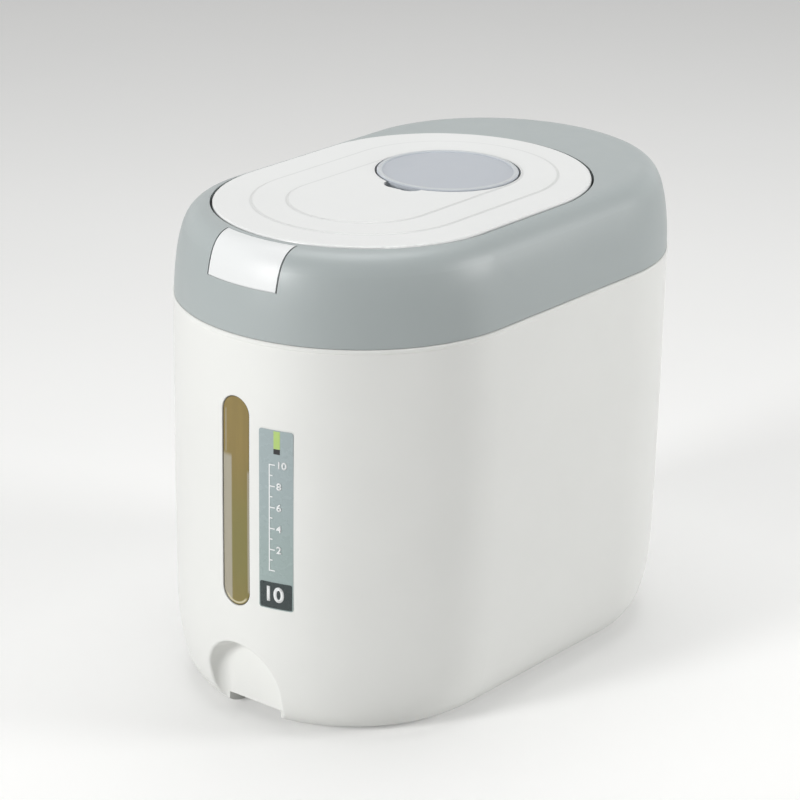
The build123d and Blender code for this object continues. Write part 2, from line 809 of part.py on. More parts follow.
def make_hinge_pin():
    reach = arm_x + arm_width / 2 + 2 * side_run + post_width
    return rod(-reach, reach, hinge_y, hinge_z, pin_radius)


def coil(radius, pitch, turns, wire):
    """A spring's coil, standing on the origin along Z."""
    path = Helix(pitch, pitch * turns, radius)
    start = Plane(path.position_at(0), z_dir=path.tangent_at(0))
    return sweep(start * Circle(wire / 2), path)


def make_hinge_springs():
    """A torsion spring on the pin beside each arm."""
    length = spring_pitch * spring_turns
    start_x = arm_x - arm_width / 2 - side_run - spring_wire - length
    turned = Rot(0, 90, 0) * coil(spring_radius, spring_pitch, spring_turns, spring_wire)
    return both(Pos(start_x, hinge_y, hinge_z) * turned)


# ---- push button ------------------------------------------------------------------------------
def make_latch_button():
    outer = shoulder_points(0, 0)
    inner = shoulder_points(button_wall, button_wall)
    deck = [outer[-1][-1], at(0, deck_z), at(0, deck_z - button_wall), inner[-1][-1]]
    foot = [inner[0][0], outer[0][0]]
    face = make_face(curves(outer) + outline(deck) + curves(backwards(inner)) + outline(foot))
    keeper = button_keeper(0)
    button = sweep_end(face, -1) & keeper
    envelope = collar_block() & keeper
    ear_x = button_half - ear_width - wall
    ear = block(
        ear_x, ear_x + ear_width, -bottom_end_y, button_y, button_z - ear_half, button_z + ear_half
    )
    button += both(ear & envelope) + both(rod(ear_x, ear_x + ear_width, button_y, button_z, ear_half))
    hook = block(-hook_half, hook_half, -bottom_end_y, button_y, hook_z, hook_z + hook_wall) & envelope
    hook += block(-hook_half, hook_half, button_y, hook_tip_y, hook_z, hook_z + hook_wall)
    button += hook
    shelf = block(
        -hook_half, hook_half, -bottom_end_y, coil_y + coil_radius + coil_wire,
        shelf_z, shelf_z + shelf_wall,
    )
    button += shelf & envelope
    return button - rod(-half_width, half_width, button_y, button_z, button_pin_radius + pin_run)


def make_button_pin():
    reach = button_half + 2 * button_side_gap + ear_width
    return rod(-reach, reach, button_y, button_z, button_pin_radius)


def make_button_spring():
    height = shelf_z - plate_top_z - coil_wire
    spring = coil(coil_radius, height / coil_turns, coil_turns, coil_wire)
    return Pos(0, coil_y, plate_top_z + coil_wire / 2) * spring


# ---- measuring cup ---------------------------------------------------------------------------
def make_measuring_cup():
    base_z = cup_top_z - cup_ring_height
    section = [
        at(0, base_z),
        at(cup_radius - cup_ring_width, base_z),
        at(cup_radius - cup_ring_width + cup_ring_height, cup_top_z),
        at(cup_radius - cup_ring_height, cup_top_z),
        at(cup_radius, base_z),
        at(cup_mouth_radius, well_floor_z),
        at(cup_mouth_radius - cup_wall, well_floor_z),
        at(cup_radius - cup_wall, base_z - cup_wall),
        at(0, base_z - cup_wall),
        at(0, base_z),
    ]
    profile = make_face(outline(section))
    return Pos(0, cup_y) * revolve(profile, Axis.Z, 360)


PIECES = {
    "tub": make_tub,
    "window_pane": make_window_pane,
    "window_gasket": make_window_gasket,
    "window_frame": make_window_frame,
    "label": make_label,
    "mouth_frame": make_mouth_frame,
    "rim_gasket": make_rim_gasket,
    "collar": make_collar,
    "collar_screws": make_collar_screws,
    "lid_top": make_lid_top,
    "lid_inner": make_lid_inner,
    "lid_seal": make_lid_seal,
    "lid_screws": make_lid_screws,
    "hinge_bracket": make_hinge_bracket,
    "hinge_screws": make_hinge_screws,
    "hinge_pin": make_hinge_pin,
    "hinge_springs": make_hinge_springs,
    "latch_button": make_latch_button,
    "button_pin": make_button_pin,
    "button_spring": make_button_spring,
    "measuring_cup": make_measuring_cup,
}

for name, make in PIECES.items():
    export_step(make(), f"parts/{name}.step")
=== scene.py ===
"""Rice keeper: a racetrack bin with a grey cover, a push button, a flip lid and a stowed cup."""

import math

import bmesh
import bpy
from bpy.props import FloatProperty, FloatVectorProperty, IntProperty, PointerProperty
from bpy.types import Operator, Panel, PropertyGroup
from mathutils import Matrix, Vector
from mathutils.bvhtree import BVHTree


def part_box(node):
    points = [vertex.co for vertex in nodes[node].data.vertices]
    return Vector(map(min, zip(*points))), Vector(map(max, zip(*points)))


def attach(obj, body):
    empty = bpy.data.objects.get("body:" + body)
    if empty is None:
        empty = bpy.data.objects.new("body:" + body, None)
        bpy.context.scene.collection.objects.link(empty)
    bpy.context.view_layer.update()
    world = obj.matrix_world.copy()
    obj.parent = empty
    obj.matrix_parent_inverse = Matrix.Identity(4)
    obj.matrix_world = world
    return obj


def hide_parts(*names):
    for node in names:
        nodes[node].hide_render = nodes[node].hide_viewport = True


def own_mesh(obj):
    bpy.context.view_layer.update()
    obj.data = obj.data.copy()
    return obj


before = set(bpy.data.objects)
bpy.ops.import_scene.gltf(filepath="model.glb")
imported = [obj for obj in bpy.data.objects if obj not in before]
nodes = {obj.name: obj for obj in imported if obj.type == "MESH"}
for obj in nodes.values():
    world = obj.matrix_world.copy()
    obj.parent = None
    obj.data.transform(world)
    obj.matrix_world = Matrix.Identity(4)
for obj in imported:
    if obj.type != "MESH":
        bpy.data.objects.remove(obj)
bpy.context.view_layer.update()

bl_info = {
    "name": "Rice Keeper Dresser",
    "version": (1, 0, 0),
    "blender": (4, 5, 0),
    "location": "3D View > Sidebar > Keeper",
    "description": "Dresses the rice keeper with its plastics, label, screws and studio",
    "category": "Object",
}

# ---- places, in metres --------------------------------------------------------------------------
# Painted shade lines along the lid's steps, and on the cup a painted highlight ring and a painted
# shade line, as depths inside the outlines that they follow.
STEP_SHADE_LINE = (-0.0004, 0.0012)
STEP_SHADE_SOFT = 0.0006
CUP_RIM_HIGHLIGHT_LINE = (0.0005, 0.0029)
CUP_RIM_SHADE_LINE = (0.0033, 0.0037)
CUP_RING_SOFT = 0.0002

# Marks in the window, mostly painted light (pale bands of painted reflection and a painted glint
# line): across from the slot's middle line, up from its middle height, and depths inside its
# outline.
OLIVE_TOP, OLIVE_SOFT = 0.008, 0.030
WIDE_BAND_SIDE, WIDE_BAND_TOP = -0.0032, 0.0275
SLIM_BAND_WIDTH, SLIM_BAND_TOP = 0.0016, 0.020
REFLECTION_THREAD_SIDES, REFLECTION_THREAD_FOOT, REFLECTION_THREAD_TOP = (-0.0079, -0.0073), 0.0290, 0.055
GLINT_LINE, GLINT_TOP = (0.0012, 0.0022), -0.0045
WINDOW_LINE = (-0.001, 0.0006)

# The print on the label: across from the front's middle, and up from the floor or the label's foot.
FILM_INSET, FILM_DEPTH = 1e-5, 2e-5
PRINT_MARGIN = 0.0006
PANEL_HEIGHT, PANEL_CORNER = 0.0166, 0.0012
BAR_SIDES, BAR_FOOT = (0.0261, 0.0299), 0.1788
SQUARE_ENDS = (0.1756, 0.1787)
SCALE_ACROSS, SCALE_FOOT, SCALE_HEAD = 0.0236, 0.1045, 0.1690
TICK_REACH = (0.0034, 0.0020)  # of even and of odd steps
NUMBER_ACROSS, NUMBER_SIZE = 0.0279, 0.0060
PANEL_NUMBER_ACROSS, PANEL_NUMBER_UP, PANEL_NUMBER_SIZE = 0.0198, 0.0088, 0.0125
BOLDNESS = 0.030  # how far a number's outline grows, as a share of its size
WELD = 1e-7  # points this close are one
LOOK_FROM = -0.5  # where the look along +Y starts

# Lamps: name, place, aim, width and the setting that holds the power.
LAMPS = (
    ("key_lamp", (-0.5, -2.2, 0.9), (0, 0, 0.15), 0.6, "key"),
    ("fill_lamp", (1.75, 1.1, 0.8), (0, 0, 0.15), 0.8, "fill"),
    ("top_lamp", (-0.2, 0.2, 1.9), (0, 0, 0.25), 1.4, "top"),
)

# The camera's place, and its turn, rise and roll in degrees.
CAMERA_PLACE = (1.11466, -1.42222, 0.83194)
CAMERA_ANGLES = (38.54, 20.57, 1.11)

STEEL_DARK = (0.48, 0.48, 0.47, 1.0)
STEEL_PALE = (0.62, 0.62, 0.61, 1.0)
FILM_FLECK = (0.1, 0.12, 0.12, 1.0)
FLOOR_GLOW = (1.0, 1.0, 0.99, 1.0)
SKY_LIGHT = (1.0, 1.0, 1.0, 1.0)
BACKDROP = (0.86, 0.86, 0.85, 1.0)


# ---- sizes and colours --------------------------------------------------------------------------
def colour_of(name, description, value):
    return FloatVectorProperty(
        name=name, description=description, subtype="COLOR", size=4, min=0.0, max=1.0,
        default=(*value, 1.0),
    )


def length_of(name, description, value):
    return FloatProperty(
        name=name, description=description, default=value, unit="LENGTH", precision=5
    )


def share_of(name, description, value):
    return FloatProperty(name=name, description=description, default=value, subtype="FACTOR")


class KeeperPlastics(PropertyGroup):
    """Colours and finish of the moulded pieces, with their painted shade, painted highlight and
    painted reflection tones.
    """

    tub: colour_of("Tub", "Warm white of the tub", (0.82, 0.825, 0.80))
    lid: colour_of("Lid", "White of the flip lid", (0.845, 0.855, 0.845))
    button: colour_of("Button", "Bright white of the push button", (0.80, 0.815, 0.815))
    inside: colour_of("Inside", "White of the pieces under the lid", (0.76, 0.765, 0.74))
    cover: colour_of("Cover", "Cool grey of the collar", (0.40, 0.44, 0.44))
    cup: colour_of("Cup", "Cloudy grey of the measuring cup", (0.545, 0.58, 0.63))
    # Painted highlight: the paler ring stands for light on the raised rim of the cup's base.
    cup_ring: colour_of("Cup ring", "Paler ring round the cup's base", (0.64, 0.67, 0.69))
    ring_radius: length_of("Ring radius", "Outside of the ring on the cup's base", 0.0421)
    lid_radius: length_of("Lid radius", "Radius of the lid's round ends", 0.08656)
    step_shift: length_of("Step shift", "From the lid's front centre back to the steps'", 0.00034)
    step_length: length_of("Step length", "Between the centres of the lower step's ends", 0.0793)
    step_radius: length_of("Step radius", "Radius of the lower step's ends", 0.065)
    lip_radius: length_of("Lip radius", "Radius of the upper step's ends", 0.0444)
    # Painted shade: how much greyer the steps' edges are drawn, standing for the shade on their
    # slopes.
    step_tone: share_of("Step tone", "How much greyer the steps' edges are", 0.22)
    window: colour_of("Window", "Amber of the sight window", (0.325, 0.235, 0.065))
    # Painted reflection: the pale bands stand for the back wall's glints seen in the window.
    haze: colour_of("Haze", "Pale bands in the sight window", (0.47, 0.43, 0.33))
    window_low: colour_of("Window, lower", "Olive tone low in the window", (0.25, 0.22, 0.06))
    window_edge: colour_of("Window edge", "Dark line round the window", (0.07, 0.06, 0.03))
    glint: colour_of("Glint", "Pale line round the window's foot", (0.75, 0.68, 0.45))
    slot_half: length_of("Slot half", "Half the width of the window's slot", 0.0100)
    flange: length_of("Flange", "How far the pane reaches past the slot", 0.0050)
    seal: colour_of("Seal", "Milky silicone of the seals", (0.66, 0.67, 0.65))
    grain: length_of("Grain", "Size of the fine mould grain", 0.0006)
    grain_depth: length_of("Grain depth", "Height of the fine mould grain", 0.00002)
    ripple: length_of("Ripple", "Size of the slow waves in a moulded wall", 0.045)
    ripple_depth: length_of("Ripple depth", "Height of the slow waves in a moulded wall", 0.00004)
    shade: share_of("Shade", "How far the plastic's tone drifts", 0.03)
    gloss_drift: share_of("Gloss drift", "How far the roughness drifts", 0.07)


class KeeperLabel(PropertyGroup):
    """The film label beside the window."""

    film: colour_of("Film", "Pale blue-grey film", (0.36, 0.43, 0.44))
    film_low: colour_of("Film, lower", "Greener lower part of the film", (0.335, 0.415, 0.405))
    panel: colour_of("Panel", "Dark foot of the label", (0.032, 0.046, 0.047))
    bar: colour_of("Bar", "Green bar at the head", (0.45, 0.62, 0.19))
    ink: colour_of("Ink", "Black ink", (0.02, 0.02, 0.022))
    print_white: colour_of("Print", "White print of the level scale", (0.85, 0.87, 0.87))
    corner: length_of("Corner", "Corner radius of the film", 0.0016)
    lift: length_of("Lift", "Ink above the film", 0.00004)
    stroke: length_of("Stroke", "Width of the level scale's lines", 0.0007)
    ticks: IntProperty(name="Ticks", description="Steps of the level scale", default=10, min=2)


class KeeperStudio(PropertyGroup):
    """Floor, lamps and camera."""

    floor: colour_of("Floor", "Pale floor", (0.78, 0.78, 0.77))
    floor_size: length_of("Floor size", "Side of the floor", 9.0)
    lens: FloatProperty(name="Lens", description="Focal length in millimetres", default=144.07)
    key: FloatProperty(name="Key", description="Soft lamp in front", default=34.0, unit="POWER")
    fill: FloatProperty(
        name="Fill", description="Soft lamp on the right", default=22.0, unit="POWER"
    )
    top: FloatProperty(name="Top", description="Soft lamp above", default=17.0, unit="POWER")
    glow: FloatProperty(
        name="Floor glow", description="How much paler the floor is shown", default=0.22
    )
    sky: FloatProperty(name="Sky", description="Strength of the even light", default=0.14)


# ---- materials ----------------------------------------------------------------------------------
class Recipe:
    """A node material with a principled shader and patterns on object coordinates."""

    def __init__(self, name):
        self.material = bpy.data.materials.new(name)
        self.material.use_nodes = True
        self.tree = self.material.node_tree
        self.shader = self.tree.nodes["Principled BSDF"]
        self.coords = self.tree.nodes.new("ShaderNodeTexCoord").outputs["Object"]

    def add(self, kind, **values):
        node = self.tree.nodes.new(kind)
        for name, value in values.items():
            setattr(node, name, value)
        return node

    def link(self, source, target):
        self.tree.links.new(source, target)

    def feed(self, socket, source):
        """Drives one of the shader's inputs by a pattern."""
        self.link(source, self.shader.inputs[socket])

    def axes(self):
        """The object coordinates one by one: X, Y and Z."""
        parts = self.add("ShaderNodeSeparateXYZ")
        self.link(self.coords, parts.inputs["Vector"])
        return [parts.outputs[axis] for axis in "XYZ"]

    def noise(self, feature, detail=3.0, roughness=0.5, stretch=(1.0, 1.0, 1.0)):
        """Noise with features of a size in metres."""
        mapping = self.add("ShaderNodeMapping")
        mapping.inputs["Scale"].default_value = stretch
        self.link(self.coords, mapping.inputs["Vector"])
        texture = self.add("ShaderNodeTexNoise")
        texture.inputs["Scale"].default_value = 1.0 / feature
        texture.inputs["Detail"].default_value = detail
        texture.inputs["Roughness"].default_value = roughness
        self.link(mapping.outputs["Vector"], texture.inputs["Vector"])
        return texture.outputs["Fac"]

    def ramp(self, source, start, end, low=0.0, high=1.0, kind="LINEAR"):
        """A pattern carried from one pair of numbers to another."""
        node = self.add("ShaderNodeMapRange", interpolation_type=kind)
        node.inputs["From Min"].default_value = start
        node.inputs["From Max"].default_value = end
        node.inputs["To Min"].default_value = low
        node.inputs["To Max"].default_value = high
        self.link(source, node.inputs["Value"])
        return node.outputs["Result"]

    def spread(self, source, low=0.0, high=1.0):
        """Noise, which mostly stays between 0.3 and 0.7, spread between two numbers."""
        return self.ramp(source, 0.3, 0.7, low, high)

    def band(self, source, low, high, soft):
        """1 between two places along a line, fading to 0 past them."""
        rise = self.ramp(source, low - soft, low + soft, 0.0, 1.0, "SMOOTHSTEP")
        fall = self.ramp(source, high - soft, high + soft, 1.0, 0.0, "SMOOTHSTEP")
        return self.times(rise, fall)

    def maths(self, operation, *values):
        """One step of arithmetic on numbers and patterns."""
        node = self.add("ShaderNodeMath", operation=operation)
        for socket, value in zip(node.inputs, values):
            if isinstance(value, bpy.types.NodeSocket):
                self.link(value, socket)
            else:
                socket.default_value = value
        return node.outputs["Value"]

    def times(self, first, second):
        return self.maths("MULTIPLY", first, second)

    def inside_slot(self, across, along, half, middle, reach):
        """How deep a point lies inside a slot's outline, in metres."""
        past = self.maths("ABSOLUTE", self.maths("SUBTRACT", along, middle))
        past = self.maths("MAXIMUM", self.maths("SUBTRACT", past, reach), 0.0)
        out = self.maths("ADD", self.times(across, across), self.times(past, past))
        return self.maths("SUBTRACT", half, self.maths("SQRT", out))

    def blend(self, share, first, second):
        """Two colours mixed by a pattern."""
        mix = self.add("ShaderNodeMix", data_type="RGBA")
        self.link(share, mix.inputs["Factor"])
        for socket, colour in ((mix.inputs["A"], first), (mix.inputs["B"], second)):
            if isinstance(colour, bpy.types.NodeSocket):
                self.link(colour, socket)
            else:
                socket.default_value = tuple(colour)
        return mix.outputs["Result"]

    def relief(self, *layers):
        """Bumps, each a pattern and its height, stacked onto the normal."""
        normal = None
        for pattern, height in layers:
            bump = self.add("ShaderNodeBump")
            bump.inputs["Strength"].default_value = 1.0
            bump.inputs["Distance"].default_value = height
            self.link(pattern, bump.inputs["Height"])
            if normal is not None:
                self.link(normal, bump.inputs["Normal"])
            normal = bump.outputs["Normal"]
        self.feed("Normal", normal)


def darker(colour, share):
    return (*[c * (1.0 - share) for c in colour[:3]], 1.0)


def moulded_plastic(name, colour, roughness, plastics, coat=0.0, depth=1.0):
    """Injection-moulded plastic: fine grain, slow ripples, a drift of tone and gloss."""
    recipe = Recipe(name)
    tone = recipe.spread(recipe.noise(plastics.ripple * 1.6, 4.0))
    recipe.feed("Base Color", recipe.blend(tone, darker(colour, plastics.shade), colour))
    drift = recipe.noise(plastics.ripple / 3, 5.0, 0.6)
    low = roughness - plastics.gloss_drift / 2
    recipe.feed("Roughness", recipe.spread(drift, low, low + plastics.gloss_drift))
    recipe.relief(
        (recipe.noise(plastics.ripple, 1.0), plastics.ripple_depth * depth),
        (recipe.noise(plastics.grain, 2.0), plastics.grain_depth * depth),
    )
    recipe.shader.inputs["IOR"].default_value = 1.49
    recipe.shader.inputs["Coat Weight"].default_value = coat
    recipe.shader.inputs["Coat Roughness"].default_value = 0.12
    return recipe


def line_slots(recipe, slots, line_soft):
    """Draws soft lines along the outlines of slots that lie flat, in plan."""
    across, along, _ = recipe.axes()
    base = recipe.shader.inputs["Base Color"].links[0].from_socket
    for half, middle, reach, line, colour in slots:
        depth = recipe.inside_slot(across, along, half, middle, reach)
        base = recipe.blend(recipe.band(depth, *line, line_soft), base, colour)
    recipe.feed("Base Color", base)


def lid_plastic(name, plastics):
    """The lid's white, with painted shade: a greyer line along the soft edges of its two steps,
    where their slopes fall into shade.
    """
    recipe = moulded_plastic(name, plastics.lid, 0.33, plastics, coat=0.1)
    low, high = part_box("lid_top")
    cup_low, cup_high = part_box("measuring_cup")
    front = low.y + plastics.lid_radius + plastics.step_shift
    # Painted shade along the steps' edges.
    shade = darker(plastics.lid, plastics.step_tone)
    steps = []
    for radius, rear in (
        (plastics.step_radius, front + plastics.step_length),
        (plastics.lip_radius, (cup_low.y + cup_high.y) / 2),
    ):
        steps.append((radius, (front + rear) / 2, (rear - front) / 2, STEP_SHADE_LINE, shade))
    line_slots(recipe, steps, STEP_SHADE_SOFT)
    return recipe


def cloudy_plastic(name, plastics):
    """Translucent plastic: a little light passes, with a painted highlight ring and a thin painted
    shade line inside it, for the lit top and shaded inner edge of the base's raised rim.
    """
    recipe = moulded_plastic(name, plastics.cup, 0.32, plastics)
    low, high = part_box("measuring_cup")
    middle = (low.y + high.y) / 2
    # A painted highlight ring on the rim, and a painted shade line just inside it.
    rings = [
        (plastics.ring_radius, middle, 0.0, CUP_RIM_HIGHLIGHT_LINE, plastics.cup_ring),
        (plastics.ring_radius, middle, 0.0, CUP_RIM_SHADE_LINE, darker(plastics.cup, 0.14)),
    ]
    line_slots(recipe, rings, CUP_RING_SOFT)
    recipe.shader.inputs["Transmission Weight"].default_value = 0.12
    recipe.shader.inputs["IOR"].default_value = 1.46
    return recipe


def amber_plastic(name, plastics):
    """Clear amber plastic: a dark line round the slot, pale bands of painted reflection where the
    back wall glints, and a painted highlight line round the window's foot.
    """
    recipe = Recipe(name)
    streaks = recipe.spread(recipe.noise(0.004, 4.0, 0.6, (1.0, 1.0, 0.06)))
    base = recipe.blend(streaks, darker(plastics.window, 0.12), plastics.window)
    across, _, height = recipe.axes()
    low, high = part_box("window_pane")
    half, middle = plastics.slot_half, (low.z + high.z) / 2
    reach = (high.z - low.z) / 2 - half - plastics.flange
    edge = recipe.inside_slot(across, height, half, middle, reach)
    foot = middle - reach
    bottom = foot - half
    olive = recipe.band(height, bottom, middle + OLIVE_TOP, OLIVE_SOFT)
    base = recipe.blend(olive, base, plastics.window_low)
    wide_band = (bottom, middle + WIDE_BAND_TOP)
    slim_band = (foot, middle + SLIM_BAND_TOP)
    reflection_thread = (middle + REFLECTION_THREAD_FOOT, middle + REFLECTION_THREAD_TOP)
    glint = (bottom, foot + GLINT_TOP)
    whole = (0.0, 1.0)
    # Painted light: pale bands and a thin thread of painted reflection, and a painted highlight
    # line round the window's foot.
    marks = (
        (across, (-half, WIDE_BAND_SIDE), wide_band, 0.0006, plastics.haze),
        (across, (half - SLIM_BAND_WIDTH, half), slim_band, 0.0006, plastics.haze),
        (across, REFLECTION_THREAD_SIDES, reflection_thread, 0.0003, plastics.haze),
        (edge, GLINT_LINE, glint, 0.0004, plastics.glint),
        (edge, WINDOW_LINE, whole, 0.0004, plastics.window_edge),
    )
    for pattern, sides, ends, soft, colour in marks:
        share = recipe.times(
            recipe.band(pattern, *sides, soft), recipe.band(height, *ends, soft * 3)
        )
        base = recipe.blend(share, base, colour)
    recipe.feed("Base Color", base)
    recipe.feed("Roughness", recipe.spread(recipe.noise(0.02, 4.0), 0.08, 0.18))
    recipe.relief((recipe.noise(0.012, 2.0, 0.5, (1.0, 1.0, 0.3)), 0.00003))
    recipe.shader.inputs["Transmission Weight"].default_value = 0.22
    recipe.shader.inputs["IOR"].default_value = 1.5
    return recipe


def bright_steel(name):
    """Drawn steel with fine lines along X and a bright zinc tone."""
    recipe = Recipe(name)
    lines = recipe.noise(0.0004, 5.0, 0.6, (0.05, 1.0, 1.0))
    recipe.feed("Base Color", recipe.blend(recipe.spread(lines), STEEL_DARK, STEEL_PALE))
    recipe.feed("Roughness", recipe.spread(lines, 0.24, 0.42))
    recipe.relief((lines, 0.00001))
    recipe.shader.inputs["Metallic"].default_value = 1.0
    return recipe


def silicone(name, colour):
    """Soft milky seal: dull and faintly dusty."""
    recipe = Recipe(name)
    dust = recipe.spread(recipe.noise(0.003, 6.0, 0.65))
    recipe.feed("Base Color", recipe.blend(dust, darker(colour, 0.08), colour))
    recipe.feed("Roughness", recipe.spread(dust, 0.5, 0.62))
    recipe.relief((recipe.noise(0.0005, 3.0), 0.00002))
    recipe.shader.inputs["Sheen Weight"].default_value = 0.15
    return recipe


def printed_ink(name, colour, roughness=0.32):
    """Ink on film: a fine screen grain and slightly uneven gloss."""
    recipe = Recipe(name)
    grain = recipe.spread(recipe.noise(0.00035, 3.0))
    recipe.feed("Base Color", recipe.blend(grain, darker(colour, 0.05), colour))
    gloss = recipe.spread(recipe.noise(0.006, 4.0), roughness - 0.05, roughness + 0.05)
    recipe.feed("Roughness", gloss)
    recipe.relief((recipe.noise(0.0003, 2.0), 0.000006))
    return recipe


def film_print(name, label):
    """The label's ground colour, turning greener towards its foot, on glossy film."""
    recipe = Recipe(name)
    low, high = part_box("label")
    tall = high.z - low.z
    _, _, height = recipe.axes()
    share = recipe.ramp(height, low.z + 0.25 * tall, low.z + 0.75 * tall, kind="SMOOTHSTEP")
    ground = recipe.blend(share, label.film_low, label.film)
    grain = recipe.spread(recipe.noise(0.0004, 3.0), 0.0, 0.06)
    recipe.feed("Base Color", recipe.blend(grain, ground, FILM_FLECK))
    recipe.feed("Roughness", recipe.spread(recipe.noise(0.008, 4.0), 0.22, 0.32))
    recipe.relief((recipe.noise(0.01, 2.0), 0.000008))
    return recipe


def dress(names, recipe):
    """Puts a material in every slot of some nodes."""
    for name in names:
        for slot in nodes[name].material_slots:
            slot.material = recipe.material


# ---- shapes -------------------------------------------------------------------------------------
def piece(name, mesh_maker, recipe, body):
    """A finished piece: its object at the origin, its place in its mesh."""
    mesh = bpy.data.meshes.new(name)
    bm = bmesh.new()
    mesh_maker(bm)
    bmesh.ops.remove_doubles(bm, verts=bm.verts, dist=WELD)
    bmesh.ops.recalc_face_normals(bm, faces=bm.faces)
    bm.to_mesh(mesh)
    bm.free()
    made = bpy.data.objects.new(name, mesh)
    bpy.context.scene.collection.objects.link(made)
    mesh.materials.append(recipe.material)
    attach(made, body)
    return made


def front_skin(node):
    """The node's surface, to be found by looking along +Y from the front."""
    source = nodes[node].data
    points = [v.co.copy() for v in source.vertices]
    return BVHTree.FromPolygons(points, [tuple(p.vertices) for p in source.polygons])


def lay_on_front(bm, skin):
    """Moves points, drawn at x and z with their depth in y, onto the front skin."""
    ahead = Vector((0, 1, 0))
    for vert in bm.verts:
        spot, normal, _, _ = skin.ray_cast(Vector((vert.co.x, LOOK_FROM, vert.co.z)), ahead)
        if spot is None:
            raise RuntimeError("a printed patch reaches past the label")
        out = Vector((normal.x, normal.y, 0)).normalized()
        if out.y > 0:
            out.negate()
        vert.co = spot - out * vert.co.y


def rounded_sheet(bm, x0, x1, z0, z1, corner, cuts):
    """A flat upright sheet with rounded corners, cut into columns so that it can bend."""
    corners = [bm.verts.new((x, 0, z)) for x, z in ((x0, z0), (x1, z0), (x1, z1), (x0, z1))]
    bm.faces.new(corners)
    if corner > 0:
        bmesh.ops.bevel(
            bm, geom=corners, offset=corner, affect="VERTICES", segments=6, profile=0.5,
            material=-1,
        )
    for step in range(1, cuts):
        cut = (x0 + (x1 - x0) * step / cuts, 0, 0)
        everything = bm.verts[:] + bm.edges[:] + bm.faces[:]
        bmesh.ops.bisect_plane(bm, geom=everything, plane_co=cut, plane_no=(1, 0, 0))


def thicken(bm, depth):
    """Gives a flat sheet at y 0 a thickness towards the viewer."""
    grown = bmesh.ops.extrude_face_region(bm, geom=bm.faces[:])
    front = [v for v in grown["geom"] if isinstance(v, bmesh.types.BMVert)]
    bmesh.ops.translate(bm, verts=front, vec=(0, -depth, 0))


def numeral(name, digits, spot, size, depth, recipe, skin):
    """A plain bold number on the front: spot is its left end and its middle height."""
    curve = bpy.data.curves.new(name, "FONT")
    curve.body = digits
    curve.size = size
    curve.offset = size * BOLDNESS
    curve.align_y = "CENTER"
    source = bpy.data.objects.new(name + "_curve", curve)
    flat = bpy.data.meshes.new_from_object(source)

    def build(bm):
        bm.from_mesh(flat)
        bmesh.ops.remove_doubles(bm, verts=bm.verts, dist=WELD)
        bmesh.ops.rotate(bm, verts=bm.verts, matrix=Matrix.Rotation(math.pi / 2, 3, "X"))
        bmesh.ops.translate(bm, verts=bm.verts, vec=(spot[0], 0, spot[1]))
        bmesh.ops.recalc_face_normals(bm, faces=bm.faces)
        thicken(bm, depth)
        lay_on_front(bm, skin)

    piece(name, build, recipe, "bin")
    bpy.data.objects.remove(source)
    bpy.data.curves.remove(curve)
    bpy.data.meshes.remove(flat)


# ---- pieces -------------------------------------------------------------------------------------
class KEEPER_OT_dress_tub(Operator):
    """Gives the tub, its window frame and the window their plastics"""

    bl_idname = "keeper.dress_tub"
    bl_label = "Dress tub"

    def execute(self, context):
        plastics = context.scene.keeper_plastics
        shell = moulded_plastic("tub_plastic", plastics.tub, 0.34, plastics, coat=0.15)
        dress(["tub", "window_frame"], shell)
        dress(["window_pane"], amber_plastic("amber_plastic", plastics))
        return {"FINISHED"}


class KEEPER_OT_dress_cover(Operator):
    """Gives the collar and the push button their plastics"""

    bl_idname = "keeper.dress_cover"
    bl_label = "Dress cover"

    def execute(self, context):
        plastics = context.scene.keeper_plastics
        cover = moulded_plastic("cover_plastic", plastics.cover, 0.40, plastics, depth=1.4)
        dress(["collar"], cover)
        dress(["latch_button"], moulded_plastic("button_plastic", plastics.button, 0.42, plastics))
        return {"FINISHED"}


class KEEPER_OT_dress_lid(Operator):
    """Gives the lid and everything under it their plastics"""

    bl_idname = "keeper.dress_lid"
    bl_label = "Dress lid"

    def execute(self, context):
        plastics = context.scene.keeper_plastics
        dress(["lid_top"], lid_plastic("lid_plastic", plastics))
        inside = moulded_plastic("inside_plastic", plastics.inside, 0.45, plastics, depth=1.5)
        dress(["lid_inner", "hinge_bracket", "mouth_frame"], inside)
        return {"FINISHED"}


class KEEPER_OT_dress_cup(Operator):
    """Gives the measuring cup its cloudy plastic"""

    bl_idname = "keeper.dress_cup"
    bl_label = "Dress cup"

    def execute(self, context):
        plastics = context.scene.keeper_plastics
        dress(["measuring_cup"], cloudy_plastic("cup_plastic", plastics))
        return {"FINISHED"}


class KEEPER_OT_dress_seals(Operator):
    """Gives the seals their silicone"""

    bl_idname = "keeper.dress_seals"
    bl_label = "Dress seals"

    def execute(self, context):
        plastics = context.scene.keeper_plastics
        dress(["window_gasket", "rim_gasket", "lid_seal"], silicone("seal_silicone", plastics.seal))
        return {"FINISHED"}


class KEEPER_OT_dress_steel(Operator):
    """Gives the pins, springs and screws their steel"""

    bl_idname = "keeper.dress_steel"
    bl_label = "Dress steel"

    pressed: share_of("Pressed", "Share of the coil's height left when the button is pressed", 0.86)

    def execute(self, context):
        steel = bright_steel("bright_steel")
        rods = ["hinge_pin", "button_pin", "hinge_springs"]
        screws = ["collar_screws", "lid_screws", "hinge_screws"]
        dress(rods + screws, steel)

        coil = nodes["button_spring"].data
        wound = piece("button_coil", lambda bm: bm.from_mesh(coil), steel, "bin")
        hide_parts("button_spring")
        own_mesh(wound)
        return {"FINISHED"}


